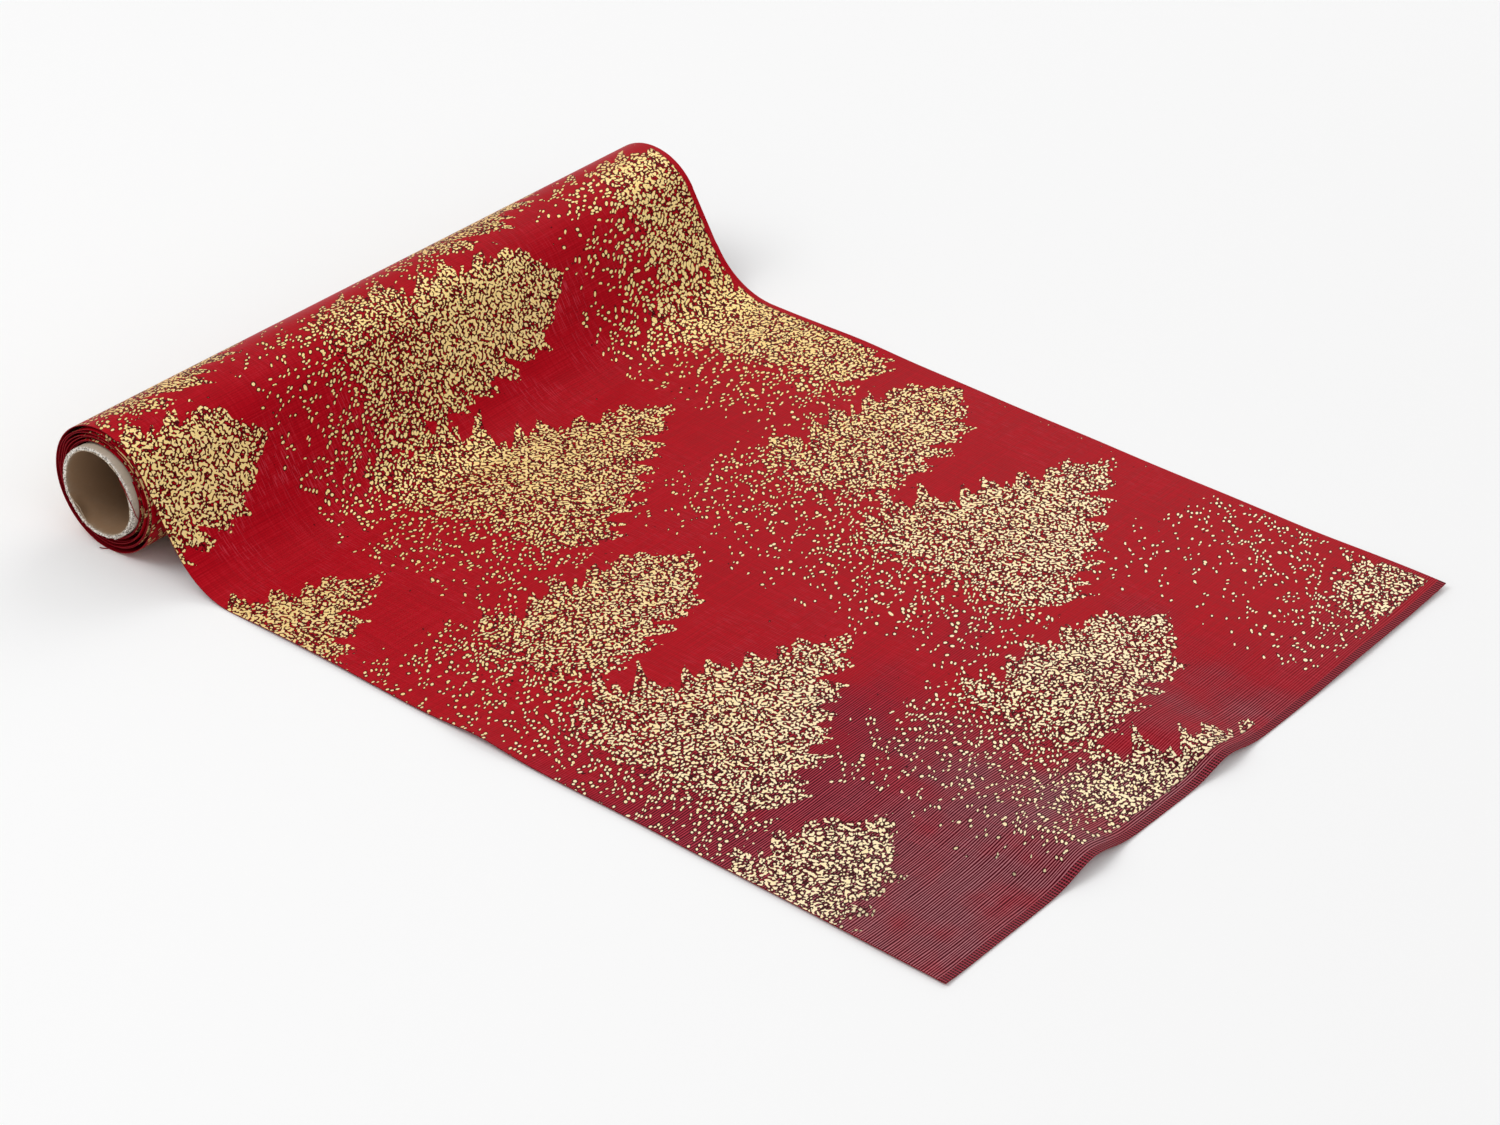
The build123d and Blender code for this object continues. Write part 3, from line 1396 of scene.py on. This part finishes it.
def settle_order(bm: bmesh.types.BMesh) -> None:
    """Numbers a mesh's elements by where they are, since a spin numbers them differently each run.

    Args:
        bm: The mesh.
    """
    for number, vert in enumerate(sorted(bm.verts, key=lambda vert: tuple(vert.co))):
        vert.index = number
    bm.verts.sort()
    for elements in (bm.edges, bm.faces):
        by_place = sorted(elements, key=lambda element: sorted(v.index for v in element.verts))
        for number, element in enumerate(by_place):
            element.index = number
        elements.sort()


def sweep_tube(bm: bmesh.types.BMesh, points: Sequence[Vector], radius: float, sides: int) -> None:
    """Adds a thin tube through points, drawn to a tip at its last one.

    Args:
        bm: The mesh it is added to.
        points: The points along its middle.
        radius: Its radius.
        sides: Sides of its section.
    """
    last_ring = None
    for number, point in enumerate(points):
        ahead = points[min(number + 1, len(points) - 1)] - points[max(number - 1, 0)]
        turn = ahead.to_track_quat("Z", "Y").to_matrix().to_4x4()
        slim = radius * (1.0 if number < len(points) - 1 else 0.35)
        made = bmesh.ops.create_circle(
            bm, segments=sides, radius=slim, cap_ends=number in (0, len(points) - 1),
            matrix=Matrix.Translation(point) @ turn,
        )
        ring = list({edge for vert in made["verts"] for edge in vert.link_edges})
        if last_ring:
            bmesh.ops.bridge_loops(bm, edges=last_ring + ring)
        last_ring = ring


@dataclass(frozen=True)
class LooseThread:
    """A red thread end that has come loose from the cloth.

    Attributes:
        name: The piece's name.
        course: Its points, each an angle in degrees, a radius and a distance in from the
            core's near end, in mm.
        radius: Its radius.
    """

    name: str
    course: tuple[tuple[float, float, float], ...]
    radius: float = 0.16 * MM

    def build(self, plan: RollPlan, material: bpy.types.Material) -> bpy.types.Object:
        """Makes the thread, which turns with the core.

        Args:
            plan: The roll.
            material: The thread's material.

        Returns:
            The thread.
        """
        marks = [
            plan.round_point(radius * MM, math.radians(angle), plan.core_near_y + inward * MM)
            for angle, radius, inward in self.course
        ]
        points = []
        for before, start, end, after in zip(
            [marks[0], *marks], marks, marks[1:], [*marks[2:], marks[-1]],
        ):
            for step in range(5):
                points.append(spline_point(before, start, end, after, step / 5.0))
        bm = bmesh.new()
        sweep_tube(bm, [*points, marks[-1]], self.radius, 8)
        piece = new_piece(self.name, bm, material)
        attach(piece, "winding")
        return piece


def spline_point(before: Vector, start: Vector, end: Vector, after: Vector, share: float) -> Vector:
    """A point on the smooth curve from start to end.

    Args:
        before: The mark before the start.
        start: The mark where this stretch starts.
        end: The mark where it ends.
        after: The mark after the end.
        share: Share of the way from start to end.

    Returns:
        The point.
    """
    square, cube = share ** 2, share ** 3
    return 0.5 * (
        2.0 * start + (end - before) * share
        + (2.0 * before - 5.0 * start + 4.0 * end - after) * square
        + (3.0 * start - before - 3.0 * end + after) * cube
    )


THREADS = (
    LooseThread("rim_thread", (
        (44.0, 15.10, 0.30), (36.0, 15.15, -0.15), (28.0, 15.7, -0.35), (15.0, 16.25, -0.25),
        (4.0, 16.72, 0.3), (-7.0, 16.85, 1.3), (-15.0, 16.9, 2.7), (-20.0, 16.95, 4.2),
    )),
    LooseThread("thread_end", (
        (-84.0, 22.5, 5.5), (-88.0, 22.7, 3.4), (-91.5, 22.8, 2.2), (-95.0, 22.75, 1.4),
        (-93.5, 22.2, 1.0),
    )),
)


# ---------------------------------------------------------------- the studio


@dataclass(frozen=True)
class Studio:
    """A plain pale floor, soft lights and the camera.

    Attributes:
        target: What the camera looks at.
        azimuth: Its direction round the object, where 0 looks along +Y.
        elevation: Its angle above level.
        roll: Its tilt about its own line of sight.
        distance: Its distance from the target.
        lens: Focal length in mm.
        sensor: Width of the camera's sensor in mm.
        floor_half: Half the side of the floor.
        air: Brightness of the surroundings.
    """

    target: tuple[float, float, float] = (2.53 * MM, -2.05 * MM, 0.0)
    azimuth: float = math.radians(37.778)
    elevation: float = math.radians(32.770)
    roll: float = math.radians(2.264)
    distance: float = 1279.07 * MM
    lens: float = 91.83
    sensor: float = 36.0
    floor_half: float = 6.0
    air: float = 0.6

    def camera(self) -> None:
        """Makes the camera and sets it as the scene's own."""
        sight = bpy.data.cameras.new("studio_camera")
        sight.lens = self.lens
        sight.sensor_width = self.sensor
        sight.clip_start = 0.05
        sight.clip_end = 20.0
        camera = bpy.data.objects.new("studio_camera", sight)
        bpy.context.scene.collection.objects.link(camera)
        back = Vector((
            math.sin(self.azimuth) * math.cos(self.elevation),
            -math.cos(self.azimuth) * math.cos(self.elevation),
            math.sin(self.elevation),
        ))
        turn = Matrix.Rotation(self.azimuth, 4, "Z")
        tilt = Matrix.Rotation(math.pi / 2.0 - self.elevation, 4, "X")
        lean = Matrix.Rotation(self.roll, 4, "Z")
        place = Matrix.Translation(Vector(self.target) + back * self.distance)
        camera.matrix_world = place @ turn @ tilt @ lean
        bpy.context.scene.camera = camera

    def floor(self) -> None:
        """Makes the pale floor under the object."""
        bm = bmesh.new()
        bmesh.ops.create_grid(bm, x_segments=1, y_segments=1, size=self.floor_half)
        bmesh.ops.translate(bm, verts=bm.verts, vec=(0.0, 0.0, -0.05 * MM))
        finish = Finish("pale_floor", Base_Color=(0.95, 0.95, 0.95, 1.0), Roughness=0.9)
        new_piece("floor", bm, finish.material)

    def light(self, name: str, place: Sequence[float], size: float, power: float) -> None:
        """Adds one soft square light that faces the object.

        Args:
            name: The light's name.
            place: Where it stands.
            size: Its side.
            power: Its power in watts.
        """
        lamp = bpy.data.lights.new(name, "AREA")
        lamp.shape = "SQUARE"
        lamp.size = size
        lamp.energy = power
        stand = bpy.data.objects.new(name, lamp)
        bpy.context.scene.collection.objects.link(stand)
        stand.location = place
        stand.rotation_euler = (-Vector(place)).to_track_quat("-Z", "Y").to_euler()

    def build(self) -> None:
        """Sets up the camera, the floor, the lights and the surrounding brightness."""
        self.camera()
        self.floor()
        self.light("key_light", (-0.9, -0.9, 1.6), 1.2, 13.0)
        self.light("fill_light", (1.3, -0.6, 1.2), 1.4, 5.0)
        self.light("back_light", (-0.4, 1.4, 1.1), 1.2, 6.0)
        world = bpy.data.worlds.new("studio_air")
        world.use_nodes = True
        air = world.node_tree.nodes["Background"]
        air.inputs["Color"].default_value = (1.0, 1.0, 1.0, 1.0)
        air.inputs["Strength"].default_value = self.air
        bpy.context.scene.world = world
        bpy.context.scene.view_settings.view_transform = "Standard"


def main() -> None:
    """Builds the studio and every piece in order, and reports each one."""
    logging.basicConfig(level=logging.INFO, format="%(name)s: %(message)s")
    plan = RollPlan.from_frame(frame)
    Studio().build()
    colours_and_shade = ClothColoursAndShade()
    face, back = colours_and_shade.printed(), colours_and_shade.plain()
    sheet = DrawnSheet(plan)
    wound = WoundCloth(plan, sheet.length)
    pieces = [sheet.build(face, back), wound.build(face, back), *CardboardCore(plan).build()]
    pieces.extend(thread.build(plan, back) for thread in THREADS)
    film = tape_film()
    for slot in bpy.data.objects["start_tape"].material_slots:
        slot.link = "OBJECT"
        slot.material = film
    for piece in pieces:
        log.info("%s: %d vertices", piece.name, len(piece.data.vertices))
    log.info("cloth: %.0f mm drawn off, %.0f mm wound", sheet.length * TO_MM, wound.length() * TO_MM)


if __name__ == "__main__":
    main()
